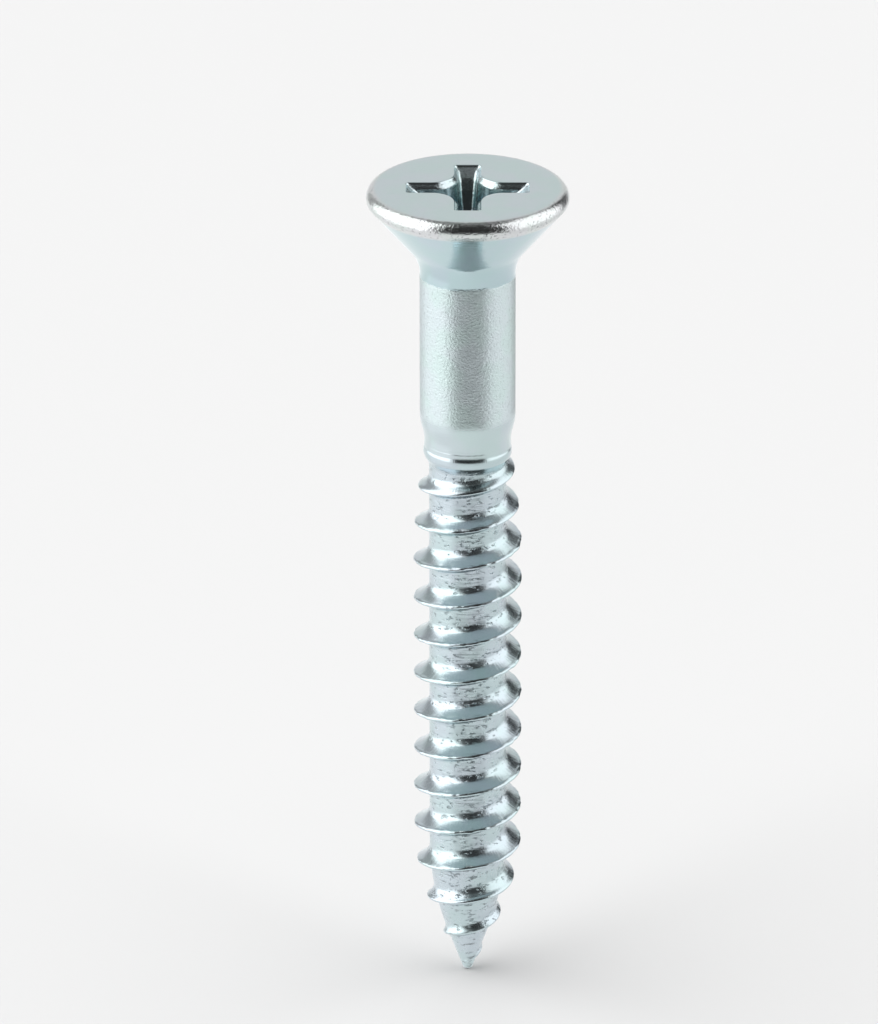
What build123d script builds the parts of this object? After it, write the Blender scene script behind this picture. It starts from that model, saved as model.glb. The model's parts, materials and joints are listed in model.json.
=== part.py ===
from build123d import *
import math
import os

# A countersunk wood screw: one piece of steel wire, headed, cross-recessed and thread-rolled.
# Millimetres. +Z is the screw's axis and points out of the head. The origin is the centre of
# the head's flat face, where a driver enters, so the point of the screw is at z = -LENGTH.

# Driving dimensions
LENGTH = 25.4
HEAD_DIAMETER = 6.01
HEAD_CONE_ANGLE = 81
HEAD_CONE_APEX_DEPTH = 3.91
SHANK_DIAMETER = 2.84
BLANK_DIAMETER = 2.58
CORE_DIAMETER = 2.294
THREAD_DIAMETER = 3.24
THREAD_PITCH = 1.2304
POINT_ANGLE = 40

# Head
FACE_EDGE_RADIUS = 0.28
RIM_WIDEST_DEPTH = 0.325
NECK_RADIUS = 1.2

# Cross recess for a driver: four wings round a wider middle. Its walls flare at the mouth, and
# the wings' end walls slope inward on the way down.
RECESS_SPAN = 3.72
RECESS_WING_WIDTH = 0.86
RECESS_CORNER_RADIUS = 0.66
RECESS_FLARE = 0.14
RECESS_FLARE_DEPTH = 0.15
RECESS_END_SLOPE = 1.3
RECESS_END_SLOPE_DEPTH = 0.32
RECESS_LOWER_END_SLOPE = 0.6
RECESS_SIDE_SLOPE = 0.085
RECESS_CORNER_GAP = 0.03
RECESS_MIDDLE_DEPTH = 1.0
RECESS_DEPTH = 1.85
RECESS_PIT_DIAMETER = 0.6
RECESS_PIT_DEPTH = 0.35

# Chamfer from the plain shank down to the blank that the thread is rolled on, and the blank's
# raised lip above the thread
SHANK_END_DEPTH = 7.2
BLANK_START_DEPTH = 7.9
LIP_START_DEPTH = 8.15
LIP_TOP_DEPTH = 8.26
LIP_DIAMETER = 2.624
LIP_BOTTOM_DEPTH = 8.38
CORE_START_DEPTH = 8.73

# Thread ridge
THREAD_START_DEPTH = 8.136
THREAD_START_ANGLE = 180
THREAD_FADE_IN = 3.0
THREAD_FADE_POWER = 0.45
THREAD_TAPER_DEPTH = 20.6
THREAD_TAPER_RADIUS = 6.6
THREAD_END_DEPTH = 24.7
RIDGE_CREST_TOP = 0.02
RIDGE_CREST_BOTTOM = 0.1
RIDGE_CREST_ROUND = 0.04
RIDGE_UPPER_FLANK_ANGLE = 33
RIDGE_LOWER_FLANK_ANGLE = 23
RIDGE_ROOT_SINK = 0.12
STATIONS_PER_TURN = 16

# Point
TIP_RADIUS = 0.17
POINT_ARC_RADIUS = 8.6

# Values worked out from the dimensions above
half_point = math.radians(POINT_ANGLE / 2)
half_cone = math.radians(HEAD_CONE_ANGLE / 2)
head_radius = HEAD_DIAMETER / 2
core_radius = CORE_DIAMETER / 2
crest_radius = THREAD_DIAMETER / 2
shank_radius = SHANK_DIAMETER / 2
tip_start_radius = TIP_RADIUS * math.cos(half_point)
tip_start_depth = LENGTH - TIP_RADIUS * (1 - math.sin(half_point))
cone_start_radius = core_radius - POINT_ARC_RADIUS * (1 - math.cos(half_point))
cone_start_depth = tip_start_depth - (cone_start_radius - tip_start_radius) / math.tan(half_point)
taper_start_depth = cone_start_depth - POINT_ARC_RADIUS * math.sin(half_point)


def head_cone_radius(depth):
    return (HEAD_CONE_APEX_DEPTH - depth) * math.tan(half_cone)


def core_radius_at(depth):
    """Radius of the threaded part's core, without its ridge."""
    if depth <= taper_start_depth:
        return core_radius
    if depth <= cone_start_depth:
        run = depth - taper_start_depth
        return core_radius - POINT_ARC_RADIUS + math.sqrt(POINT_ARC_RADIUS**2 - run**2)
    return cone_start_radius - (depth - cone_start_depth) * math.tan(half_point)


def crest_radius_at(depth):
    """Radius of the ridge's crest: it fades in under the shank and closes onto the point."""
    share = min(1, (depth - THREAD_START_DEPTH) / THREAD_FADE_IN)
    radius = core_radius + (crest_radius - core_radius) * share**THREAD_FADE_POWER
    if depth > THREAD_TAPER_DEPTH:
        radius -= (depth - THREAD_TAPER_DEPTH) ** 2 / (2 * THREAD_TAPER_RADIUS)
    return radius


def wire_body():
    """The head, shank and core as one turned shape, from the profile of its right-hand side."""
    neck_tangent = NECK_RADIUS * math.tan(half_cone / 2)
    neck_corner_depth = HEAD_CONE_APEX_DEPTH - shank_radius / math.tan(half_cone)
    neck_start = (
        shank_radius + neck_tangent * math.sin(half_cone),
        -(neck_corner_depth - neck_tangent * math.cos(half_cone)),
    )
    neck_end = (shank_radius, -(neck_corner_depth + neck_tangent))
    # The rim turns over from the face, runs straight for a moment, and turns under to the cone.
    face_end = (head_radius - FACE_EDGE_RADIUS, 0)
    rim_top = (head_radius, -FACE_EDGE_RADIUS)
    rim_bottom = (head_radius, -RIM_WIDEST_DEPTH)
    overhang = head_cone_radius(RIM_WIDEST_DEPTH) - head_radius
    rim_radius = overhang / (1 / math.cos(half_cone) - 1)
    rim_end = (
        head_radius - rim_radius * (1 - math.cos(half_cone)),
        -RIM_WIDEST_DEPTH - rim_radius * math.sin(half_cone),
    )
    middle_arc = math.sqrt(POINT_ARC_RADIUS**2 - ((cone_start_depth - taper_start_depth) / 2) ** 2)
    arc_middle = (
        core_radius - POINT_ARC_RADIUS + middle_arc,
        -(taper_start_depth + cone_start_depth) / 2,
    )
    edges = [
        Line((0, 0), face_end),
        TangentArc(face_end, rim_top, tangent=(1, 0)),
        Line(rim_top, rim_bottom),
        TangentArc(rim_bottom, rim_end, tangent=(0, -1)),
        Line(rim_end, neck_start),
        TangentArc(neck_end, neck_start, tangent=(0, 1)),
        Polyline(
            neck_end,
            (shank_radius, -SHANK_END_DEPTH),
            (BLANK_DIAMETER / 2, -BLANK_START_DEPTH),
            (BLANK_DIAMETER / 2, -LIP_START_DEPTH),
            (LIP_DIAMETER / 2, -LIP_TOP_DEPTH),
            (LIP_DIAMETER / 2, -LIP_BOTTOM_DEPTH),
            (core_radius, -CORE_START_DEPTH),
            (core_radius, -taper_start_depth),
        ),
        ThreePointArc(
            (core_radius, -taper_start_depth), arc_middle, (cone_start_radius, -cone_start_depth)
        ),
        Line((cone_start_radius, -cone_start_depth), (tip_start_radius, -tip_start_depth)),
        TangentArc((0, -LENGTH), (tip_start_radius, -tip_start_depth), tangent=(1, 0)),
        Line((0, -LENGTH), (0, 0)),
    ]
    profile = make_face(Plane.XZ * Curve(children=edges))
    return revolve(profile, Axis.Z)


def ridge_section(depth):
    """The ridge's cross-section at one place: (height along the axis, radius), root to root."""
    root = core_radius_at(depth) - RIDGE_ROOT_SINK
    crest = crest_radius_at(depth)
    shoulder = max(crest - RIDGE_CREST_ROUND, root + RIDGE_CREST_ROUND)
    height = shoulder - root
    upper_root = RIDGE_CREST_TOP + height * math.tan(math.radians(RIDGE_UPPER_FLANK_ANGLE))
    lower_root = RIDGE_CREST_BOTTOM + height * math.tan(math.radians(RIDGE_LOWER_FLANK_ANGLE))
    return [
        (upper_root, root),
        (RIDGE_CREST_TOP, shoulder),
        ((RIDGE_CREST_TOP - RIDGE_CREST_BOTTOM) / 2, max(crest, shoulder + RIDGE_CREST_ROUND / 4)),
        (-RIDGE_CREST_BOTTOM, shoulder),
        (-lower_root, root),
    ]


def ridge_length(first_turn, last_turn):
    """A length of the right-handed ridge, skinned between rails through its section's corners."""
    stations = max(2, round((last_turn - first_turn) * STATIONS_PER_TURN))
    rails = [[] for _ in ridge_section(THREAD_START_DEPTH)]
    for station in range(stations + 1):
        turned = first_turn + (last_turn - first_turn) * station / stations
        depth = THREAD_START_DEPTH + turned * THREAD_PITCH
        angle = math.radians(THREAD_START_ANGLE - 360 * turned)
        for rail, (along, radius) in zip(rails, ridge_section(depth)):
            rail.append((radius * math.cos(angle), radius * math.sin(angle), along - depth))
    curves = [Spline(*rail) for rail in rails]
    faces = []
    for curve, following in zip(curves, curves[1:] + curves[:1]):
        faces.append(Face.make_surface_from_curves(curve, following))
    for end in (0, -1):
        faces.append(Face(Wire.make_polygon([rail[end] for rail in rails], close=True)))
    return Solid(Shell(faces))


def thread_ridge():
    """The whole ridge as lengths of about one turn, laid end to end."""
    turns = (THREAD_END_DEPTH - THREAD_START_DEPTH) / THREAD_PITCH
    lengths = math.ceil(turns)
    return [
        ridge_length(turns * number / lengths, turns * (number + 1) / lengths)
        for number in range(lengths)
    ]


def cross_outline(depth):
    """The recess's outline at one depth: a cross with its four inner corners rounded."""
    flare = RECESS_FLARE * min(depth / RECESS_FLARE_DEPTH, 1)
    sloped = min(depth, RECESS_END_SLOPE_DEPTH)
    narrowing = RECESS_END_SLOPE * sloped + RECESS_LOWER_END_SLOPE * (depth - sloped)
    span = RECESS_SPAN - 2 * narrowing
    wing_width = RECESS_WING_WIDTH - 2 * (flare + RECESS_SIDE_SLOPE * depth)
    room = (span - wing_width) / 2 - RECESS_CORNER_GAP
    cross = Rectangle(span, wing_width) + Rectangle(wing_width, span)
    inner_corners = cross.vertices().sort_by_distance((0, 0))[:4]
    return Pos(0, 0, -depth) * fillet(inner_corners, min(RECESS_CORNER_RADIUS + flare, room))


def driver_recess():
    levels = (0, RECESS_FLARE_DEPTH, RECESS_END_SLOPE_DEPTH, RECESS_MIDDLE_DEPTH, RECESS_DEPTH)
    wings = loft([cross_outline(depth) for depth in levels], ruled=True)
    pit = Pos(0, 0, -RECESS_DEPTH - RECESS_PIT_DEPTH / 2) * Cone(
        0.05, RECESS_PIT_DIAMETER / 2, RECESS_PIT_DEPTH
    )
    return wings + pit


def wood_screw():
    return (wire_body() - driver_recess()).fuse(*thread_ridge())


os.makedirs("parts", exist_ok=True)
screw = wood_screw()
export_step(screw, "parts/wood_screw.step")
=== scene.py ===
import bpy
import json
import math
from types import SimpleNamespace
import numpy as np
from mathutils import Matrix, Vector, noise


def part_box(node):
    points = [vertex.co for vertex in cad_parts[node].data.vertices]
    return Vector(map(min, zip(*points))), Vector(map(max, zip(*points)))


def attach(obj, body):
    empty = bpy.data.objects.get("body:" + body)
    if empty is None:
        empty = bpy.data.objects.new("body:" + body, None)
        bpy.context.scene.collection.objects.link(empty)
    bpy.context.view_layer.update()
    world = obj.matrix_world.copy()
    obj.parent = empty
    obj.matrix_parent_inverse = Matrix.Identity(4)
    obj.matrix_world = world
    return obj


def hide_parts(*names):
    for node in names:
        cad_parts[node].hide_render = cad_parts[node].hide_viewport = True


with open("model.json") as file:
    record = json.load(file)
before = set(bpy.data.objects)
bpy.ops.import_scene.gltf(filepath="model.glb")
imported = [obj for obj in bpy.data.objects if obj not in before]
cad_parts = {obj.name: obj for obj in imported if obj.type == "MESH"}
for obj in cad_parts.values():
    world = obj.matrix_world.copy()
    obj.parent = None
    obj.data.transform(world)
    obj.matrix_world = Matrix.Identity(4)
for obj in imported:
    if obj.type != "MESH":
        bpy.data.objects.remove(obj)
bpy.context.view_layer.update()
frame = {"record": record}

# The screw is worked out in millimetres, with depth counted down from the head's flat face.
# The frame gives its length, head and shank, and most other dimensions repeat the CAD's. The
# blank, its lip and the ridge's section are shaped more finely here, so their numbers differ a
# little from the CAD's, and the recess has rounded edges and a plainer floor.
MM = 0.001
ROOM_IN_CAD_BOX = 0.004
box_low, box_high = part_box("wood_screw")
mounts = {mount["name"]: mount for mount in frame["record"]["mounts"]}
LENGTH = (box_high[2] - box_low[2]) / MM
HEAD_RADIUS = (box_high[0] - box_low[0]) / MM / 2 - ROOM_IN_CAD_BOX
SHANK_RADIUS = mounts["shank"]["dims"]["r_mm"]

CONE_HALF_ANGLE = math.radians(40.5)
CONE_APEX_DEPTH = 3.91
FACE_EDGE_WIDTH = 0.28
FACE_EDGE_DROP = 0.325
NECK_RADIUS = 1.2
SHANK_END = 7.2

# The blank that the thread is rolled on, with a fine groove and a rolled lip at its lower end
BLANK_RADIUS = 1.289
BLANK_START = 7.95
GROOVE_DEPTH = 8.005
GROOVE_HALF_WIDTH = 0.0225
GROOVE_SINK = 0.007
LIP_START = 8.15
LIP_TOP = 8.27
LIP_RADIUS = 1.312
LIP_BOTTOM = 8.37
CORE_START = 8.78

CORE_RADIUS = 1.147
CREST_RADIUS = 1.62
PITCH = 1.2304
THREAD_START = 8.136
THREAD_START_TURN = 0.5
THREAD_FADE_IN = 3.0
THREAD_FADE_POWER = 0.45
THREAD_START_LAG = 0.14
THREAD_TAPER_START = 20.6
THREAD_TAPER_RADIUS = 6.6
UPPER_FLANK_SLOPE = 1 / math.tan(math.radians(26))
LOWER_FLANK_SLOPE = 1 / math.tan(math.radians(17))
CREST_TOP = 0.01
CREST_BOTTOM = 0.07
CREST_ROUND = 0.06
ROOT_ROUND = 0.4
# Where the ridge is still low its crest is wider and rounder, and its root is hardly rounded.
LOW_CREST_EXTRA = 0.06
LOW_ROUND_EXTRA = 0.15
LOW_ROOT_SHARE = 0.1
# Nicks of the crest, on the part of the ridge that stands out past WEAR_START.
WEAR_DEPTH = 0.03
WEAR_START = 1.45
WEAR_EASE = 0.12

POINT_HALF_ANGLE = math.radians(20)
POINT_ARC_RADIUS = 8.6
TIP_RADIUS = 0.17

# Grid: columns run round the axis, rows run down it, and the thread's rows follow its helix.
COLUMNS = 192
COLUMNS_PER_OCTANT = COLUMNS // 8
HELIX_TOP = 7.93
HELIX_BOTTOM = 25.1
LEAST_ROW_GAP = 0.004


def smooth_max(a, b, width):
    """The larger of a and b, blended where they are within width of each other."""
    near = np.maximum(width - np.abs(a - b), 0) / width
    return np.maximum(a, b) + near * near * width / 4


def smooth_min(a, b, width):
    """The smaller of a and b, blended in the same way."""
    return -smooth_max(-a, -b, width)


# ---------------------------------------------------------------- profile of the screw

def core_radius_at(depth):
    """The threaded part's core, closing onto the point along an arc and then a cone."""
    tip_radius = TIP_RADIUS * math.cos(POINT_HALF_ANGLE)
    tip_depth = LENGTH - TIP_RADIUS * (1 - math.sin(POINT_HALF_ANGLE))
    cone_radius = CORE_RADIUS - POINT_ARC_RADIUS * (1 - math.cos(POINT_HALF_ANGLE))
    cone_depth = tip_depth - (cone_radius - tip_radius) / math.tan(POINT_HALF_ANGLE)
    arc_depth = cone_depth - POINT_ARC_RADIUS * math.sin(POINT_HALF_ANGLE)
    run = np.clip(depth - arc_depth, 0, cone_depth - arc_depth)
    arc = CORE_RADIUS - POINT_ARC_RADIUS + np.sqrt(POINT_ARC_RADIUS**2 - run**2)
    return arc - np.maximum(depth - cone_depth, 0) * math.tan(POINT_HALF_ANGLE)


def eased(depth, start, end):
    """0 above start and 1 below end, with a soft beginning and end."""
    share = np.clip((depth - start) / (end - start), 0, 1)
    return share * share * (3 - 2 * share)


def blank_radius_at(depth):
    """Chamfer below the shank, the blank, and its rolled lip above the thread's core."""
    radius = SHANK_RADIUS + (BLANK_RADIUS - SHANK_RADIUS) * eased(depth, SHANK_END, BLANK_START)
    radius = radius + (LIP_RADIUS - BLANK_RADIUS) * eased(depth, LIP_START, LIP_TOP)
    radius = radius + (CORE_RADIUS - LIP_RADIUS) * eased(depth, LIP_BOTTOM, CORE_START)
    in_groove = np.maximum(1 - np.abs(depth - GROOVE_DEPTH) / GROOVE_HALF_WIDTH, 0)
    return radius - GROOVE_SINK * in_groove


def fade_in(depth):
    """From 0 where the ridge starts to 1 where it has its full height."""
    return np.clip((depth - THREAD_START) / THREAD_FADE_IN, 0, 1)


def crest_radius_at(depth):
    """The ridge's crest: it fades in under the blank and closes onto the point."""
    radius = CORE_RADIUS + (CREST_RADIUS - CORE_RADIUS) * fade_in(depth)**THREAD_FADE_POWER
    taper = np.maximum(depth - THREAD_TAPER_START, 0)
    return radius - taper**2 / (2 * THREAD_TAPER_RADIUS)


def along_ridge(angle, depth):
    """How far below the nearest turn of the ridge a place is, in millimetres."""
    lag = THREAD_START_LAG * (1 - fade_in(depth))
    turned = (depth - lag - THREAD_START) / PITCH - (THREAD_START_TURN - angle / (2 * math.pi))
    return (turned - np.round(turned)) * PITCH


def threaded_radius(angle, depth):
    """The ridge and the core under it, blended together at the ridge's root."""
    below = along_ridge(angle, depth)
    young = 1 - fade_in(depth)
    upper = (CREST_TOP + below) * UPPER_FLANK_SLOPE
    lower = (CREST_BOTTOM + LOW_CREST_EXTRA * young - below) * LOWER_FLANK_SLOPE
    rounding = CREST_ROUND + LOW_ROUND_EXTRA * young
    ridge = crest_radius_at(depth) + smooth_min(0, np.minimum(upper, lower), rounding)
    base = np.where(depth < CORE_START, blank_radius_at(depth), core_radius_at(depth))
    return smooth_max(base, ridge, ROOT_ROUND * np.clip(3 * (1 - young), LOW_ROOT_SHARE, 1))


# ---------------------------------------------------------------- cross recess

RECESS_HALF_SPAN = 1.86
RECESS_HALF_WIDTH = 0.43
RECESS_CORNER_RADIUS = 0.66
RECESS_FLARE = 0.14
RECESS_FLARE_DEPTH = 0.15
RECESS_END_SLOPE = 1.3
RECESS_END_SLOPE_DEPTH = 0.32
RECESS_LOWER_END_SLOPE = 0.6
RECESS_SIDE_SLOPE = 0.085
RECESS_CORNER_GAP = 0.03
RECESS_DEPTH = 1.85
RECESS_PIT_DEPTH = 0.35
WING_CORNER_RADIUS = 0.1
MOUTH_EDGE_RADIUS = 0.04


def recess_sizes(depth):
    """Half span, half wing width and inner corner radius of the recess at one depth."""
    flare = RECESS_FLARE * min(depth / RECESS_FLARE_DEPTH, 1)
    end_slope = min(depth, RECESS_END_SLOPE_DEPTH)
    narrowing = RECESS_END_SLOPE * end_slope + RECESS_LOWER_END_SLOPE * (depth - end_slope)
    half_span = RECESS_HALF_SPAN - narrowing
    half_width = RECESS_HALF_WIDTH - flare - RECESS_SIDE_SLOPE * depth
    corner = min(RECESS_CORNER_RADIUS + flare, half_span - half_width - RECESS_CORNER_GAP)
    return half_span, half_width, corner


def cross_outline(half_span, half_width, corner, grow=0.0):
    """A cross's outline as one point per column, from the middle of the wing along +X."""
    span, width = half_span + grow, half_width + grow
    inner = corner - grow
    tip = WING_CORNER_RADIUS
    octant = []
    for step in range(4):
        octant.append((span, (width - tip) * step / 4))
    for step in range(4):
        turn = math.pi / 2 * step / 4
        octant.append((span - tip + tip * math.cos(turn), width - tip + tip * math.sin(turn)))
    side_steps = 6
    for step in range(side_steps):
        octant.append((span - tip + (width + inner - span + tip) * step / side_steps, width))
    arc_steps = COLUMNS_PER_OCTANT - len(octant)
    for step in range(arc_steps):
        turn = math.pi / 4 * step / arc_steps
        octant.append((width + inner - inner * math.sin(turn), width + inner - inner * math.cos(turn)))
    middle = width + inner * (1 - math.sqrt(0.5))
    quadrant = octant + [(middle, middle)] + [(y, x) for x, y in reversed(octant[1:])]
    outline = []
    for _ in range(4):
        outline += quadrant
        quadrant = [(-y, x) for x, y in quadrant]
    return np.array(outline)


# ---------------------------------------------------------------- the mesh

class Surface:
    """Vertices and faces of the screw, built up row by row from the recess to the tip."""

    def __init__(self):
        self.points = []
        self.faces = []

    def add(self, point):
        self.points.append(tuple(point))
        return len(self.points) - 1

    def add_row(self, xy, depth):
        """A closed row of one vertex per column. depth is one number, or one per column."""
        depths = np.broadcast_to(depth, len(xy))
        return [self.add((x, y, -z)) for (x, y), z in zip(xy, depths)]

    def join(self, upper, lower):
        for column in range(COLUMNS):
            after = (column + 1) % COLUMNS
            self.faces.append((upper[column], lower[column], lower[after], upper[after]))

    def close(self, row, centre, facing_up):
        for column in range(COLUMNS):
            after = (column + 1) % COLUMNS
            face = (row[column], row[after], centre)
            self.faces.append(face if facing_up else face[::-1])


angles = np.arange(COLUMNS) * 2 * math.pi / COLUMNS
circle = np.stack([np.cos(angles), np.sin(angles)], axis=1)


def recess_rows():
    """(outline, depth) rows from the middle of the recess's floor up to its mouth."""
    rows = []
    floor = cross_outline(*recess_sizes(RECESS_DEPTH))
    for share, drop in ((0.15, 0.32), (0.4, 0.22), (0.7, 0.12), (0.92, 0.04)):
        rows.append((floor * share, RECESS_DEPTH + drop))
    for depth in (1.85, 1.7, 1.5, 1.3, 1.1, 0.9, 0.7, 0.5, 0.4, 0.32, 0.25, 0.21, 0.17, 0.12, 0.07):
        rows.append((cross_outline(*recess_sizes(depth)), depth))
    for step in range(5):
        turn = math.pi / 2 * step / 4
        grow = MOUTH_EDGE_RADIUS * (1 - math.cos(turn))
        sizes = recess_sizes(MOUTH_EDGE_RADIUS)
        rows.append((cross_outline(*sizes, grow), MOUTH_EDGE_RADIUS * (1 - math.sin(turn))))
    return rows


def face_rows(mouth, edge_radius):
    """Rows across the flat face, from the recess's mouth out to where its edge turns over."""
    rows = []
    for share in (0.06, 0.14, 0.25, 0.38, 0.52, 0.66, 0.8, 0.9, 1.0):
        rows.append((mouth * (1 - share) + circle * edge_radius * share, 0.0))
    return rows


def rim_and_neck():
    """(radius, depth) pairs down the rim, the cone and the neck to the shank."""
    pairs = []
    for turn in np.linspace(0, math.pi / 2, 13)[1:]:
        pairs.append((
            HEAD_RADIUS - FACE_EDGE_WIDTH * (1 - math.sin(turn)),
            FACE_EDGE_DROP * (1 - math.cos(turn)),
        ))
    # The rim's lower arc turns inward until it meets the cone.
    tangent = math.tan(CONE_HALF_ANGLE)
    gap = HEAD_RADIUS - (CONE_APEX_DEPTH - FACE_EDGE_DROP) * tangent
    per_radius = 1 - math.cos(CONE_HALF_ANGLE) - tangent * math.sin(CONE_HALF_ANGLE)
    rim_radius = gap / per_radius
    for turn in np.linspace(0, CONE_HALF_ANGLE, 9)[1:]:
        pairs.append((
            HEAD_RADIUS - rim_radius * (1 - math.cos(turn)),
            FACE_EDGE_DROP + rim_radius * math.sin(turn),
        ))
    neck_tangent = NECK_RADIUS * math.tan(CONE_HALF_ANGLE / 2)
    corner = CONE_APEX_DEPTH - SHANK_RADIUS / tangent
    neck_top = corner - neck_tangent * math.cos(CONE_HALF_ANGLE)
    for depth in np.linspace(pairs[-1][1], neck_top, 22)[1:]:
        pairs.append(((CONE_APEX_DEPTH - depth) * tangent, depth))
    for turn in np.linspace(CONE_HALF_ANGLE, 0, 13)[1:]:
        pairs.append((
            SHANK_RADIUS + NECK_RADIUS * (1 - math.cos(turn)),
            corner + neck_tangent - NECK_RADIUS * math.sin(turn),
        ))
    return pairs


def ridge_row_offsets():
    """Places of the rows within one pitch of the thread, closest together over the crest."""
    above = [-0.42, -0.37, -0.32, -0.28, -0.24, -0.2, -0.16, -0.12, -0.085, -0.055, -0.03]
    crest = [-0.012, 0.005, 0.022, 0.04, 0.06, 0.078, 0.094, 0.11, 0.128]
    below = [0.15, 0.18, 0.21, 0.24, 0.27, 0.31, 0.36]
    root = list(np.linspace(below[-1], PITCH + above[0], 13)[1:-1])
    return above + crest + below + root


def crest_wear(x, y, depths, radii):
    """How much the rolled crest is nicked, most where it stands out furthest."""
    wear = []
    for depth, radius in zip(depths, radii):
        place = Vector((x * radius, y * radius, depth))
        nick = max(noise.noise(place * 3.5) + 0.5 * noise.noise(place * 9.0), -0.2)
        standing_out = min(max((radius - WEAR_START) / WEAR_EASE, 0), 1)
        wear.append(WEAR_DEPTH * (nick + 0.2) * standing_out)
    return np.array(wear)


def helix_part(surface, top_row):
    """The threaded length. Its rows descend one pitch each turn, so they are clipped flat at
    the top and bottom, where whole rows join on."""
    offsets = [offset % PITCH for offset in ridge_row_offsets()]
    offsets.sort()
    turns = range(-2, math.ceil((HELIX_BOTTOM - THREAD_START) / PITCH) + 3)
    columns = []
    for column in range(COLUMNS):
        turned = THREAD_START_TURN - column / COLUMNS
        rows = {}
        for turn in turns:
            for number, offset in enumerate(offsets):
                depth = THREAD_START + (turn + turned) * PITCH + offset
                if HELIX_TOP + LEAST_ROW_GAP < depth < HELIX_BOTTOM - LEAST_ROW_GAP:
                    rows[turn * len(offsets) + number] = depth
        columns.append(rows)
    vertices = []
    for column, rows in enumerate(columns):
        depths = np.array(list(rows.values()))
        radii = threaded_radius(np.full(len(depths), angles[column]), depths)
        x, y = circle[column]
        radii -= crest_wear(x, y, depths, radii)
        made = [surface.add((x * r, y * r, -d)) for r, d in zip(radii, depths)]
        vertices.append(dict(zip(rows.keys(), made)))
    bottom_radius = float(core_radius_at(np.array(HELIX_BOTTOM)))
    bottom_row = surface.add_row(circle * bottom_radius, HELIX_BOTTOM)
    for column in range(COLUMNS):
        after = (column + 1) % COLUMNS
        left = vertices[column]
        right = vertices[after]
        if after == 0:
            right = {key + len(offsets): vertex for key, vertex in right.items()}
        shared = sorted(set(left) & set(right))
        for upper, lower in zip(shared, shared[1:]):
            surface.faces.append((left[upper], left[lower], right[lower], right[upper]))
        top_left = [left[key] for key in sorted(left) if key <= shared[0]]
        top_right = [right[key] for key in sorted(right, reverse=True) if key <= shared[0]]
        surface.faces.append((top_row[column], *top_left, *top_right, top_row[after]))
        low_left = [left[key] for key in sorted(left) if key >= shared[-1]]
        low_right = [right[key] for key in sorted(right, reverse=True) if key >= shared[-1]]
        surface.faces.append((*low_left, bottom_row[column], bottom_row[after], *low_right))
    return bottom_row


def build_screw():
    surface = Surface()
    recess = recess_rows()
    mouth = recess[-1][0]
    centre = surface.add((0, 0, -(RECESS_DEPTH + RECESS_PIT_DEPTH)))
    rows = [surface.add_row(xy, depth) for xy, depth in recess]
    surface.close(rows[0], centre, facing_up=True)
    rows += [
        surface.add_row(xy, depth)
        for xy, depth in face_rows(mouth, HEAD_RADIUS - FACE_EDGE_WIDTH)
    ]
    rows += [surface.add_row(circle * radius, depth) for radius, depth in rim_and_neck()]
    neck_end = -surface.points[rows[-1][0]][2]
    for depth in np.linspace(neck_end, SHANK_END, 46)[1:]:
        rows.append(surface.add_row(circle * SHANK_RADIUS, depth))
    for depth in np.linspace(SHANK_END, HELIX_TOP, 10)[1:]:
        rows.append(surface.add_row(circle * blank_radius_at(depth), depth))
    for upper, lower in zip(rows, rows[1:]):
        surface.join(upper, lower)
    bottom_row = helix_part(surface, rows[-1])
    # The point: a short cone, then a small ball end.
    point_rows = [bottom_row]
    tip_depth = LENGTH - TIP_RADIUS * (1 - math.sin(POINT_HALF_ANGLE))
    for depth in np.linspace(HELIX_BOTTOM, tip_depth, 6)[1:]:
        point_rows.append(surface.add_row(circle * float(core_radius_at(np.array(depth))), depth))
    for turn in np.linspace(POINT_HALF_ANGLE, math.pi / 2, 7)[1:-1]:
        depth = LENGTH - TIP_RADIUS * (1 - math.sin(turn))
        point_rows.append(surface.add_row(circle * TIP_RADIUS * math.cos(turn), depth))
    for upper, lower in zip(point_rows, point_rows[1:]):
        surface.join(upper, lower)
    surface.close(point_rows[-1], surface.add((0, 0, -LENGTH)), facing_up=False)
    return surface


def make_screw():
    surface = build_screw()
    mesh = bpy.data.meshes.new("screw_body")
    mesh.from_pydata([Vector(point) * MM for point in surface.points], [], surface.faces)
    mesh.update()
    mesh.shade_smooth()
    piece = bpy.data.objects.new("screw_body", mesh)
    bpy.context.scene.collection.objects.link(piece)
    return piece


# ---------------------------------------------------------------- node helpers

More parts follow.
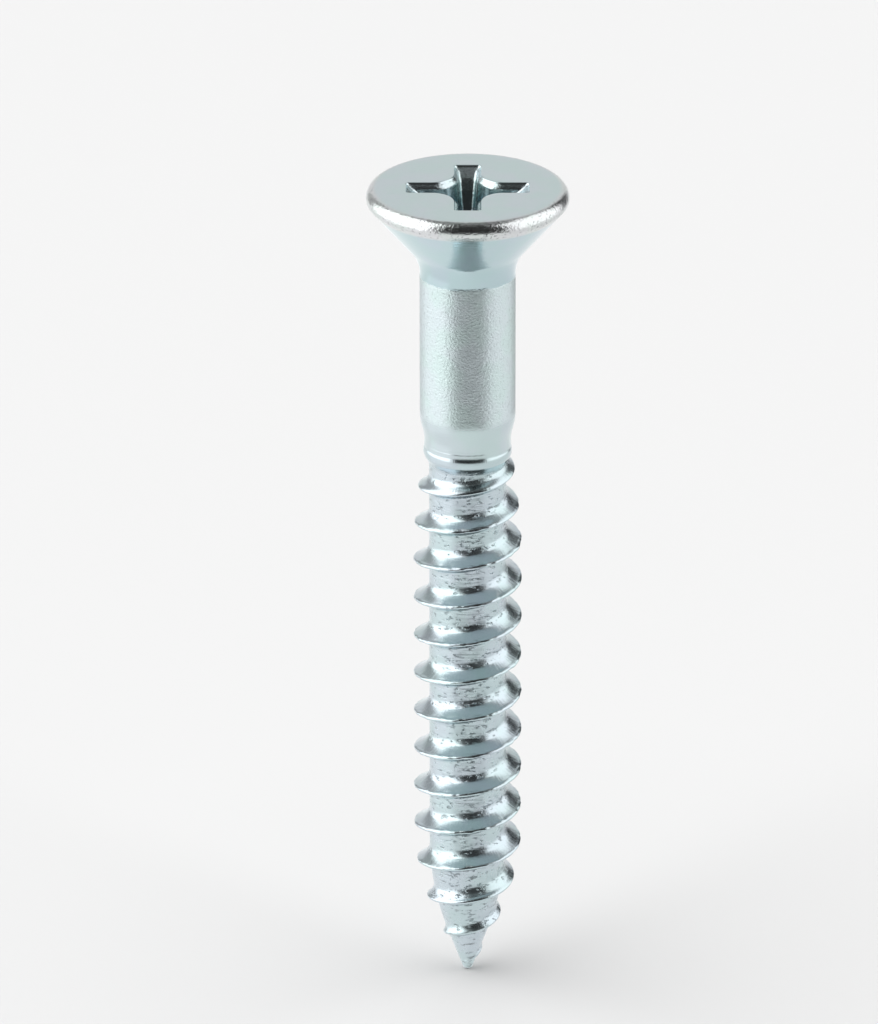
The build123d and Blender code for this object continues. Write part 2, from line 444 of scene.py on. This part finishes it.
class Graph:
    """Short ways to add and connect nodes. A value may be a number, a colour or a socket."""

    def __init__(self, tree):
        self.nodes = tree.nodes
        self.links = tree.links

    def feed(self, socket, value):
        if isinstance(value, bpy.types.NodeSocket):
            self.links.new(value, socket)
        else:
            socket.default_value = value

    def math(self, operation, *values):
        node = self.nodes.new("ShaderNodeMath")
        node.operation = operation
        for socket, value in zip(node.inputs, values):
            self.feed(socket, value)
        return node.outputs[0]

    def times(self, first, *others):
        for other in others:
            first = self.math("MULTIPLY", first, other)
        return first

    def ramp(self, value, start, end, low=0.0, high=1.0):
        """Eases from low to high while value goes from start to end."""
        node = self.nodes.new("ShaderNodeMapRange")
        node.interpolation_type = "SMOOTHSTEP"
        for name, number in zip(("Value", "From Min", "From Max"), (value, start, end)):
            self.feed(node.inputs[name], number)
        node.inputs["To Min"].default_value = low
        node.inputs["To Max"].default_value = high
        return node.outputs["Result"]

    def band(self, value, start, end, ease):
        """1 between start and end, 0 outside, with edges ease wide."""
        rise = self.ramp(value, start - ease / 2, start + ease / 2)
        fall = self.ramp(value, end - ease / 2, end + ease / 2, 1.0, 0.0)
        return self.times(rise, fall)

    def mix(self, share, a, b):
        node = self.nodes.new("ShaderNodeMix")
        for socket, value in zip((node.inputs[0], node.inputs[2], node.inputs[3]), (share, a, b)):
            self.feed(socket, value)
        return node.outputs[0]

    def blend(self, share, a, b, mode="MIX"):
        node = self.nodes.new("ShaderNodeMix")
        node.data_type = "RGBA"
        node.blend_type = mode
        for socket, value in zip((node.inputs[0], node.inputs[6], node.inputs[7]), (share, a, b)):
            self.feed(socket, value)
        return node.outputs[2]

    def stretch(self, position, x, y, z):
        node = self.nodes.new("ShaderNodeVectorMath")
        node.operation = "MULTIPLY"
        self.feed(node.inputs[0], position)
        node.inputs[1].default_value = (x, y, z)
        return node.outputs[0]

    def noise(self, position, scale, detail=2.0, roughness=0.5):
        node = self.nodes.new("ShaderNodeTexNoise")
        self.feed(node.inputs["Vector"], position)
        node.inputs["Scale"].default_value = scale
        node.inputs["Detail"].default_value = detail
        node.inputs["Roughness"].default_value = roughness
        return node.outputs["Fac"]

    def bump(self, height, distance, normal=None):
        node = self.nodes.new("ShaderNodeBump")
        node.inputs["Distance"].default_value = distance
        self.feed(node.inputs["Height"], height)
        if normal is not None:
            self.feed(node.inputs["Normal"], normal)
        return node.outputs["Normal"]


# ---------------------------------------------------------------- materials

RIM_TINT = (0.57, 0.60, 0.595, 1)
HEAD_TINT = (0.495, 0.583, 0.593, 1)
THREAD_TINT = (0.475, 0.56, 0.585, 1)
CONE_TINT = (0.425, 0.535, 0.56, 1)
SHANK_TINT = (0.512, 0.598, 0.60, 1)
LILAC_TINT = (1.025, 0.99, 1.02, 1)
GREEN_TINT = (0.98, 1.005, 0.99, 1)
DARK_FLECK = (0.16, 0.17, 0.17, 1)

# Heights of the plating's bumps in millimetres, and where the smooth neck gives way to the
# shank's grain
GRAIN_HEIGHT = 0.02
GRAIN_ELSEWHERE = 0.03
NECK_EDGE_HEIGHT = 0.011
STREAK_HEIGHT = 0.005
NECK_END = 2.72


def new_material(name):
    material = bpy.data.materials.new(name)
    material.use_nodes = True
    tree = material.node_tree
    return material, Graph(tree), tree.nodes["Principled BSDF"]


def places_on_screw(graph):
    """Where a shaded place is, in the same millimetres as the mesh."""
    place = graph.nodes.new("ShaderNodeTexCoord").outputs["Object"]
    place = graph.stretch(place, 1 / MM, 1 / MM, 1 / MM)
    split = graph.nodes.new("ShaderNodeSeparateXYZ")
    graph.feed(split.inputs[0], place)
    x, y, z = split.outputs
    return SimpleNamespace(
        place=place,
        z=z,
        depth=graph.math("MULTIPLY", z, -1.0),
        radius=graph.math("SQRT", graph.math("ADD", graph.times(x, x), graph.times(y, y))),
        angle=graph.math("ARCTAN2", y, x),
    )


def plating_noises(graph, place):
    """Slow clouds and patches of the plating, the fine grain, dark flecks and the core's pits."""
    flecks = graph.noise(place, 12.0, 2.0, 0.6)
    pits = graph.noise(graph.stretch(place, 1, 1, 2.2), 4.5, 3.0, 0.6)
    return SimpleNamespace(
        clouds=graph.noise(place, 0.9, 3.0),
        patches=graph.noise(place, 2.6, 3.0, 0.6),
        grain=graph.noise(graph.stretch(place, 1, 1, 1.2), 14.0, 2.0, 0.6),
        flecks=graph.ramp(flecks, 0.56, 0.68),
        pits=graph.ramp(pits, 0.55, 0.72),
    )


def screw_regions(graph, at, patches):
    """Masks that are 1 on one region of the screw and 0 elsewhere."""
    wobble = graph.math("MULTIPLY_ADD", patches, 0.16, -0.08)
    wavy_depth = graph.math("ADD", at.depth, wobble)
    shank_top = graph.ramp(wavy_depth, NECK_END - 0.04, NECK_END + 0.04)
    shank_bottom = graph.ramp(wavy_depth, SHANK_END - 0.25, SHANK_END + 0.08, 1.0, 0.0)
    rim_radius = HEAD_RADIUS - FACE_EDGE_WIDTH
    near_rim = graph.ramp(at.radius, rim_radius - 0.06, rim_radius + 0.14)
    above_cone = graph.ramp(at.depth, 0.5, 0.66, 1.0, 0.0)
    on_thread = graph.ramp(at.depth, LIP_START - 0.1, LIP_START + 0.2)
    # The recess narrows on its way down, and the outside of the head is beyond this slope.
    spread = graph.math("MULTIPLY_ADD", at.depth, 0.5, at.radius)
    inside = graph.ramp(spread, 1.95, 2.05, 1.0, 0.0)
    slightly_wavy_depth = graph.math("MULTIPLY_ADD", wobble, 0.4, at.depth)
    return SimpleNamespace(
        shank=graph.times(shank_top, shank_bottom),
        below_neck=graph.ramp(slightly_wavy_depth, NECK_END - 0.11, NECK_END + 0.07),
        rim=graph.times(near_rim, above_cone),
        cone=graph.band(at.depth, 0.6, NECK_END + 0.03, 0.1),
        recess=graph.times(inside, graph.ramp(at.depth, 0.02, 0.08)),
        thread=on_thread,
        core=graph.times(on_thread, graph.ramp(at.radius, 1.16, 1.26, 1.0, 0.0)),
        flank=graph.times(on_thread, graph.band(at.radius, 1.26, 1.58, 0.1)),
        crest=graph.times(on_thread, graph.ramp(at.radius, 1.5, 1.6)),
    )


def plating_roughness(graph, on, noises):
    """Each region's least roughness and how far its noise adds to it."""
    rough = graph.math("MULTIPLY_ADD", noises.patches, 0.12, 0.15)
    for region, speckle, spread, least in (
        (on.cone, noises.patches, 0.12, 0.05),
        (on.thread, noises.patches, 0.14, 0.15),
        (on.shank, noises.patches, 0.16, 0.33),
        (on.rim, noises.grain, 0.2, 0.08),
        (on.core, noises.patches, 0.2, 0.18),
    ):
        rough = graph.mix(region, rough, graph.math("MULTIPLY_ADD", speckle, spread, least))
    return rough


def plating_tint(graph, on, noises):
    """The regions' tints, drifting between green and lilac, with dark flecks and pits."""
    tint = HEAD_TINT
    for region, colour in (
        (on.thread, THREAD_TINT), (on.cone, CONE_TINT), (on.shank, SHANK_TINT), (on.rim, RIM_TINT),
    ):
        tint = graph.blend(region, tint, colour)
    drift = graph.blend(graph.ramp(noises.clouds, 0.38, 0.62), GREEN_TINT, LILAC_TINT)
    tint = graph.blend(1.0, tint, drift, "MULTIPLY")
    flecked = graph.math("ADD", graph.times(on.rim, 0.5), graph.times(on.shank, 0.22))
    flecked = graph.math("ADD", flecked, graph.times(on.recess, 0.4))
    pitted = graph.times(noises.pits, on.core, 0.5)
    dark = graph.math("ADD", graph.times(noises.flecks, flecked), pitted)
    return graph.blend(dark, tint, DARK_FLECK)


def plating_normal(graph, at, on, noises):
    """Grain, the edge below the neck, pits, drag marks round the thread and flank streaks."""
    level = GRAIN_ELSEWHERE
    for region, grain_level in ((on.shank, 0.85), (on.rim, 0.55), (on.core, 0.12), (on.recess, 0.4)):
        level = graph.math("ADD", level, graph.times(region, grain_level))
    grain = graph.times(graph.math("SUBTRACT", noises.grain, 0.5), level)
    normal = graph.bump(grain, GRAIN_HEIGHT * MM)
    normal = graph.bump(on.below_neck, NECK_EDGE_HEIGHT * MM, normal)
    normal = graph.bump(graph.times(noises.pits, on.core, -1.0), GRAIN_HEIGHT * MM, normal)
    drag = graph.noise(graph.stretch(at.place, 0.6, 0.6, 8.0), 2.2, 3.0)
    drag_level = graph.math("ADD", graph.times(on.core, 0.45), graph.times(on.crest, 0.7))
    drag_level = graph.math("ADD", 0.1, drag_level)
    normal = graph.bump(graph.times(drag, drag_level), GRAIN_HEIGHT * MM, normal)
    around = graph.nodes.new("ShaderNodeCombineXYZ")
    for socket, value in zip(around.inputs, (graph.times(at.angle, 14.0), at.radius, at.z)):
        graph.feed(socket, value)
    streaks = graph.noise(around.outputs[0], 1.6, 3.0, 0.6)
    return graph.bump(graph.times(streaks, on.flank), STREAK_HEIGHT * MM, normal)


def zinc_plating():
    """Bright zinc over steel. The shank and rim keep the grain of the wire and the die, the
    rest is smoother, and the plating's tint drifts between green and lilac."""
    material, graph, shader = new_material("zinc_plating")
    at = places_on_screw(graph)
    noises = plating_noises(graph, at.place)
    on = screw_regions(graph, at, noises.patches)
    graph.feed(shader.inputs["Roughness"], plating_roughness(graph, on, noises))
    graph.feed(shader.inputs["Base Color"], plating_tint(graph, on, noises))
    graph.feed(shader.inputs["Normal"], plating_normal(graph, at, on, noises))
    shader.inputs["Metallic"].default_value = 1.0
    # The shank's gloss is drawn out along the axis.
    tangent = graph.nodes.new("ShaderNodeTangent")
    tangent.direction_type = "RADIAL"
    tangent.axis = "Z"
    graph.feed(shader.inputs["Tangent"], tangent.outputs[0])
    graph.feed(shader.inputs["Anisotropic"], graph.times(on.shank, 0.8))
    shader.inputs["Anisotropic Rotation"].default_value = 0.25
    return material


def floor_material():
    material, _, shader = new_material("pale_floor")
    shader.inputs["Base Color"].default_value = (0.6, 0.6, 0.6, 1)
    shader.inputs["Roughness"].default_value = 0.9
    shader.inputs["Specular IOR Level"].default_value = 0.1
    return material


# ---------------------------------------------------------------- studio

CAMERA_ELEVATION = math.radians(23.13)
CAMERA_DISTANCE = 0.320
FOCAL_LENGTH_IN_HEIGHTS = 10.492
AIM_DEPTH = 10.376
SENSOR = 36.0
SHIFT_X = -0.02795
FLOOR_HALF_SIZE = 3.0


def make_camera():
    data = bpy.data.cameras.new("camera")
    data.sensor_width = SENSOR
    data.lens = SENSOR * FOCAL_LENGTH_IN_HEIGHTS
    data.shift_x = SHIFT_X
    data.clip_start = 0.01
    camera = bpy.data.objects.new("camera", data)
    aim = Vector((0, 0, -AIM_DEPTH * MM))
    back = Vector((0, -math.cos(CAMERA_ELEVATION), math.sin(CAMERA_ELEVATION)))
    camera.location = aim + back * CAMERA_DISTANCE
    camera.rotation_euler = (math.pi / 2 - CAMERA_ELEVATION, 0, 0)
    bpy.context.scene.collection.objects.link(camera)
    bpy.context.scene.camera = camera


def make_floor():
    """A pale floor under the point, 6 m across."""
    mesh = bpy.data.meshes.new("floor")
    corners = [
        (FLOOR_HALF_SIZE * x, FLOOR_HALF_SIZE * y, box_low[2])
        for x, y in ((-1, -1), (1, -1), (1, 1), (-1, 1))
    ]
    mesh.from_pydata(corners, [], [(0, 1, 2, 3)])
    floor = bpy.data.objects.new("floor", mesh)
    bpy.context.scene.collection.objects.link(floor)
    mesh.materials.append(floor_material())
    floor.visible_glossy = False


# Brightness round the studio, then its panels: azimuth from the front (right is +), elevation,
# softness and brightness, with angles in degrees.
SWEEP = 0.92
CEILING_FRONT = 0.18
CEILING_BACK = 0.3
GROUND_LEFT = 1.16
GROUND_RIGHT = 1.05
STUDIO_PANELS = (
    ((-118, -48), (-38, -5), 14, 1.32),
    ((-128, -44), (-9, 66), 10, 2.35),
    ((47, 131), (-9, 60), 8, 1.75),
    ((128, 152), (-14, 42), 6, 0.04),
    ((-152, -130), (-10, 40), 8, 0.45),
    ((-36, 47), (-14, 72), 12, 0.04),
)


def make_world():
    """A white sweep under a dim ceiling, with soft boxes left and right and a dark place
    behind the camera."""
    world = bpy.data.worlds.new("studio")
    bpy.context.scene.world = world
    world.use_nodes = True
    graph = Graph(world.node_tree)
    background = graph.nodes["Background"]
    split = graph.nodes.new("ShaderNodeSeparateXYZ")
    graph.feed(split.inputs[0], graph.nodes.new("ShaderNodeTexCoord").outputs["Generated"])
    x, y, z = split.outputs
    degree = 180 / math.pi
    azimuth = graph.times(graph.math("ARCTAN2", x, graph.times(y, -1.0)), degree)
    elevation = graph.times(graph.math("ARCSINE", z), degree)
    ceiling = graph.ramp(graph.math("ABSOLUTE", azimuth), 30, 150, CEILING_FRONT, CEILING_BACK)
    level = graph.mix(graph.ramp(elevation, 44, 62), SWEEP, ceiling)
    ground = graph.ramp(azimuth, -60, 60, GROUND_LEFT, GROUND_RIGHT)
    level = graph.mix(graph.ramp(elevation, -10, 0), ground, level)
    for (left, right), (low, high), ease, brightness in STUDIO_PANELS:
        across = graph.band(azimuth, left, right, ease)
        within = graph.times(across, graph.band(elevation, low, high, ease))
        level = graph.mix(within, level, brightness)
    graph.feed(background.inputs["Strength"], level)
    background.inputs["Color"].default_value = (1, 1, 1, 1)


def make_key_light():
    """A broad light from above, for the floor's shading; the metal doesn't show it."""
    data = bpy.data.lights.new("key", "AREA")
    data.shape = "DISK"
    data.size = 1.3
    data.energy = 8.9
    key = bpy.data.objects.new("key", data)
    key.location = (-0.1, 0, 1.05)
    key.rotation_euler = key.location.to_track_quat("Z", "Y").to_euler()
    key.visible_glossy = False
    bpy.context.scene.collection.objects.link(key)


make_camera()
make_world()
make_key_light()
make_floor()
screw = make_screw()
screw.data.materials.append(zinc_plating())
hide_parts("wood_screw")
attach(screw, "root")
bpy.context.scene.view_settings.view_transform = "Standard"
